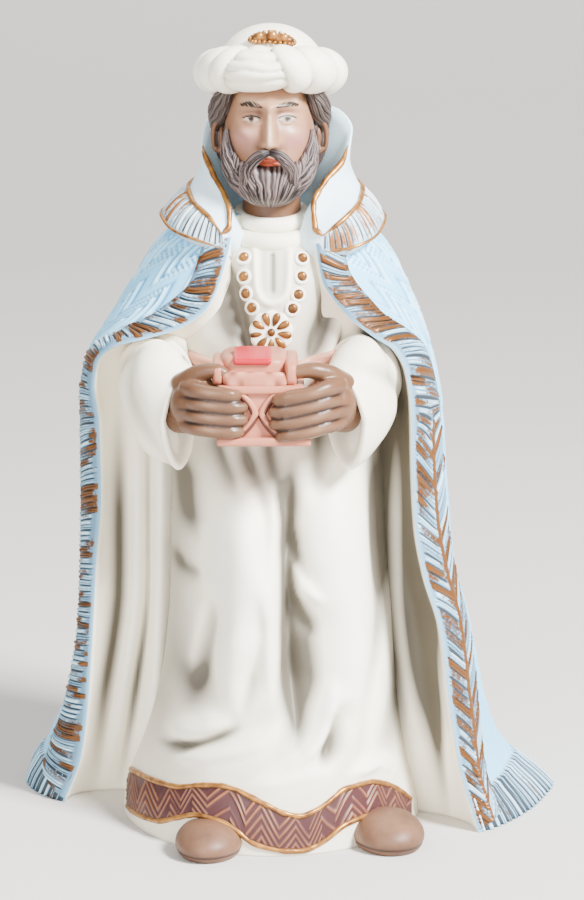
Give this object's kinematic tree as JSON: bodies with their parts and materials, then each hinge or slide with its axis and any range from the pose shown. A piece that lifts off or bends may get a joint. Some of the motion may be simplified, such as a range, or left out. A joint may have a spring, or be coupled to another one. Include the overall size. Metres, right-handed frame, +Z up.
{
  "type": "nativity wise man figurine",
  "caption": "Standing bisque porcelain wise man in a turban, robe and fringed mantle, holding a casket; rests on its flat underside.",
  "frame": {"origin": "on the flat underside, in the standing plane, below the middle of the body", "axes": "+Z up; the figure faces -Y; +X to the viewer's right"},
  "size_m": [0.1344, 0.1103, 0.19],
  "materials": {
    "bisque": "unglazed white bisque porcelain, hand painted: pale blue mantle with brushed gold fringe, cream robe and turban, mauve hem band with gold edges, rose casket, brown skin, grey-brown beard, beige shoes"
  },
  "bodies": {
    "root": {"wise_man_figurine": "bisque"}
  },
  "joints": []
}
